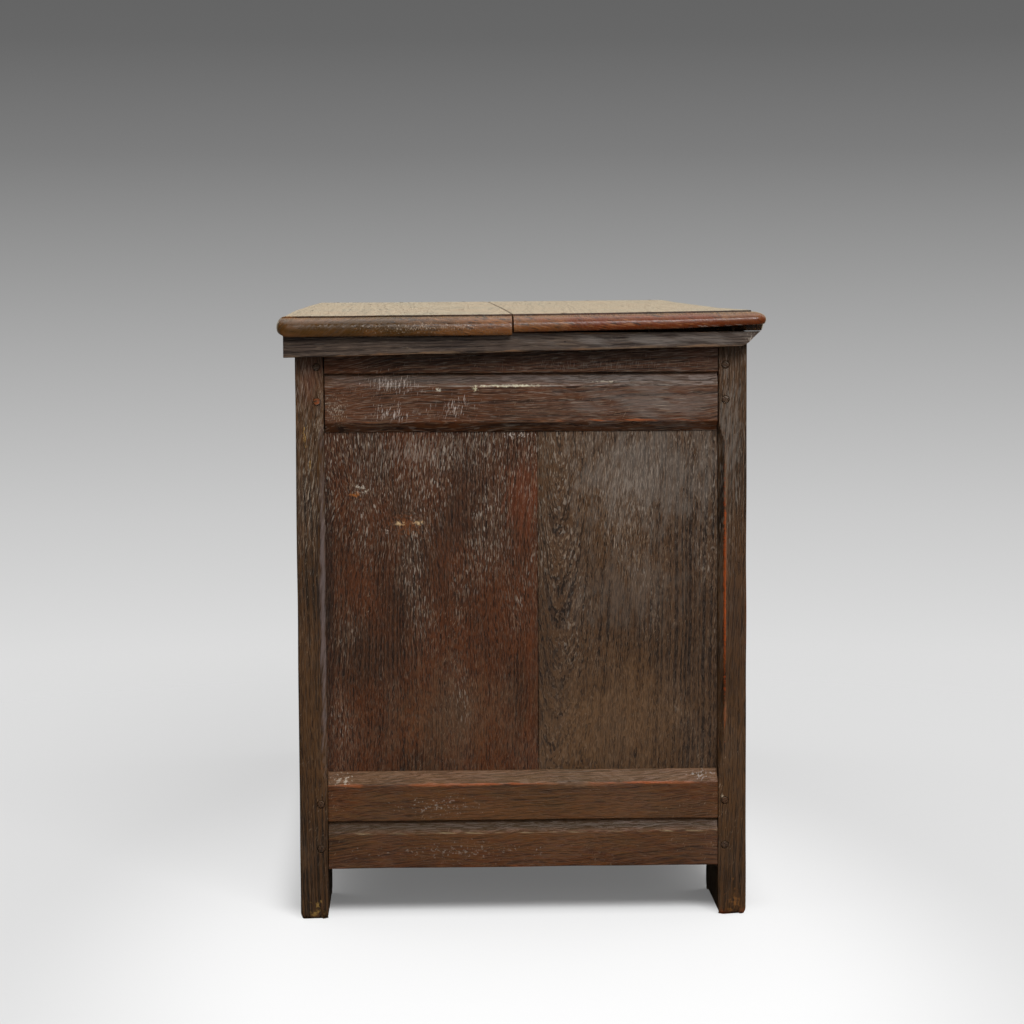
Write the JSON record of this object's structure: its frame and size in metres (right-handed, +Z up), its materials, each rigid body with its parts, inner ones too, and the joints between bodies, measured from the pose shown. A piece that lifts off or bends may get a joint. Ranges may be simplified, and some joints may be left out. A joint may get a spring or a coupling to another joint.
{
  "type": "coffer",
  "caption": "Joined oak coffer with a pegged panelled frame on stile feet, a hinged boarded lid with moulded edges and end cleats, lapped bottom boards, a lidded till and an iron lock.",
  "frame": {"origin": "on the floor under the middle of the coffer, which is the middle of the lid's outline", "axes": "+X along the length, to the right when seen from the front; the front faces -Y; +Z up"},
  "size_m": [1.4, 0.628, 0.7938],
  "materials": {
    "stile_oak": "old dark waxed oak, olive brown, worn at the arrises",
    "rail_oak": "old dark waxed oak, nearly black in the channels",
    "panel_oak": "old dark waxed oak, reddish and greyish boards",
    "lid_oak": "waxed oak, polished by use to a warm brown",
    "cleat_oak": "old dark oak, grey brown and scratched",
    "peg_oak": "riven oak pegs, waxed",
    "inside_oak": "bare dry oak",
    "iron": "hand-forged iron, dark and dull",
    "bolt_iron": "iron rubbed bright by sliding"
  },
  "bodies": {
    "carcass": {"front_left_stile": "stile_oak", "front_right_stile": "stile_oak", "back_left_stile": "stile_oak", "back_right_stile": "stile_oak", "front_top_rail": "rail_oak", "front_bottom_rail": "rail_oak", "back_top_rail": "rail_oak", "back_bottom_rail": "rail_oak", "left_end_top_rail": "rail_oak", "left_end_bottom_rail": "rail_oak", "right_end_top_rail": "rail_oak", "right_end_bottom_rail": "rail_oak", "front_left_muntin": "rail_oak", "front_right_muntin": "rail_oak", "back_left_muntin": "rail_oak", "back_right_muntin": "rail_oak", "front_left_panel": "panel_oak", "front_middle_panel": "panel_oak", "front_right_panel": "panel_oak", "back_left_panel": "panel_oak", "back_middle_panel": "panel_oak", "back_right_panel": "panel_oak", "left_end_panel_back_board": "panel_oak", "left_end_panel_front_board": "panel_oak", "right_end_panel_back_board": "panel_oak", "right_end_panel_front_board": "panel_oak", "front_pegs": "peg_oak", "back_pegs": "peg_oak", "left_end_pegs": "peg_oak", "right_end_pegs": "peg_oak", "bottom_board_1": "inside_oak", "bottom_board_2": "inside_oak", "bottom_board_3": "inside_oak", "bottom_board_4": "inside_oak", "bottom_board_5": "inside_oak", "bottom_board_6": "inside_oak", "left_hinge_back_strap": "iron", "right_hinge_back_strap": "iron", "left_hinge_pin": "iron", "right_hinge_pin": "iron", "back_strap_nails": "iron", "lock_plate": "iron", "lock_case": "iron", "lock_nails": "iron", "till_floor": "inside_oak", "till_side": "inside_oak"},
    "lid": {"lid_back_board": "lid_oak", "lid_front_board": "lid_oak", "left_lid_cleat": "cleat_oak", "right_lid_cleat": "cleat_oak", "cleat_nails": "iron", "left_hinge_lid_strap": "iron", "right_hinge_lid_strap": "iron", "lid_strap_nails": "iron", "lock_staple": "iron", "staple_nails": "iron"},
    "till_lid": {"till_lid": "inside_oak"},
    "lock_bolt": {"lock_bolt": "bolt_iron"}
  },
  "joints": [
    {"name": "lid_hinge", "type": "hinge", "parent": "carcass", "child": "lid", "pos_m": [0, 0.2969, 0.7637], "axis": [-1, 0, 0], "range_deg": [0, 100]},
    {"name": "till_lid_hinge", "type": "hinge", "parent": "carcass", "child": "till_lid", "pos_m": [-0.616, 0, 0.6415], "axis": [0, -1, 0], "range_deg": [0, 90]},
    {"name": "lock_bolt_slide", "type": "slide", "parent": "carcass", "child": "lock_bolt", "axis": [1, 0, 0], "range_m": [0, 0.012]}
  ]
}
